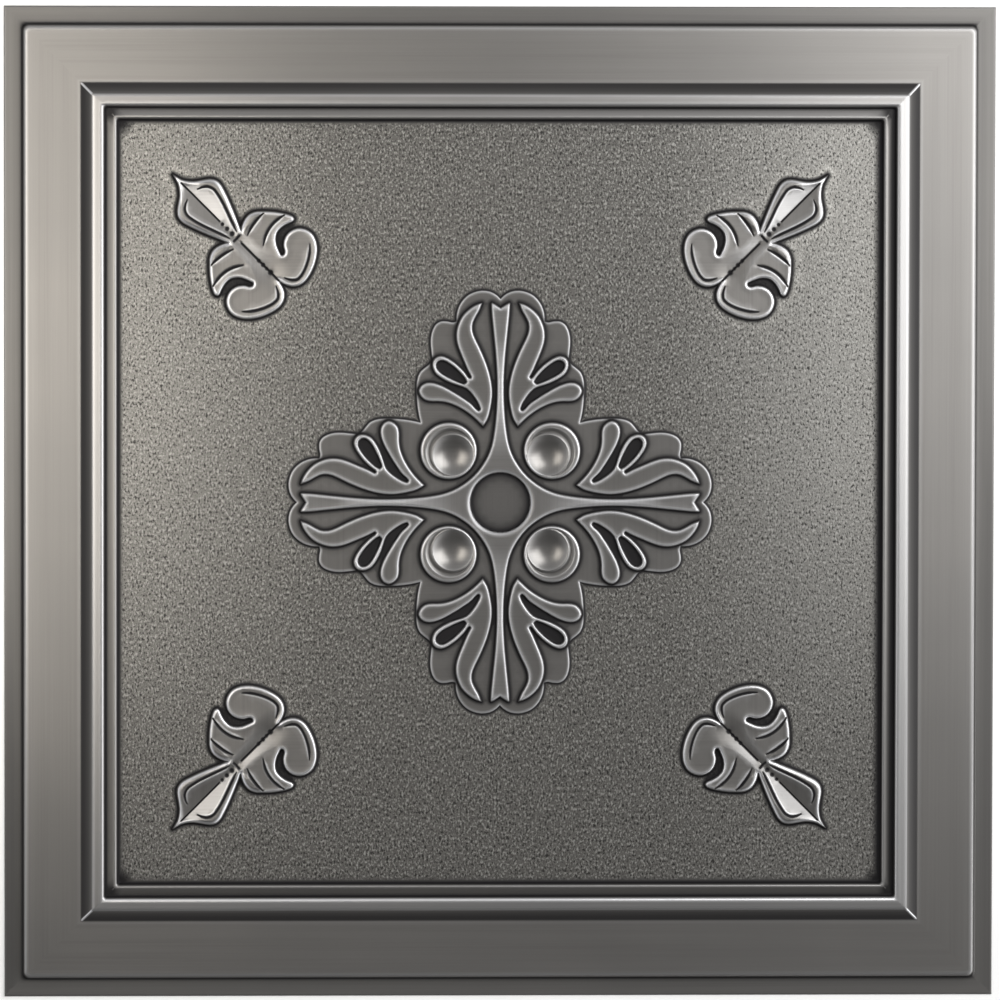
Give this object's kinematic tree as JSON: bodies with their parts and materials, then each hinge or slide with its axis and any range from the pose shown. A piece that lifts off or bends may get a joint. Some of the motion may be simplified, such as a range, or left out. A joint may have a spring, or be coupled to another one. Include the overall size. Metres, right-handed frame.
{
  "type": "ceiling_tile",
  "caption": "Square lay-in ceiling tile of thermoformed vinyl with an embossed medallion, fleur-de-lis corners and an antique pewter finish.",
  "frame": {"origin": "centre of the square footprint, on the back of the lip", "axes": "+X to the right and +Y up across the face, each along a side of the square; +Z out of the decorated face, the tile lying on its back"},
  "size_m": [0.6032, 0.6032, 0.011],
  "materials": {
    "pewter_vinyl": "satin antique pewter film with dark patina in the recesses"
  },
  "bodies": {
    "root": {"ceiling_tile": "pewter_vinyl"}
  },
  "joints": []
}
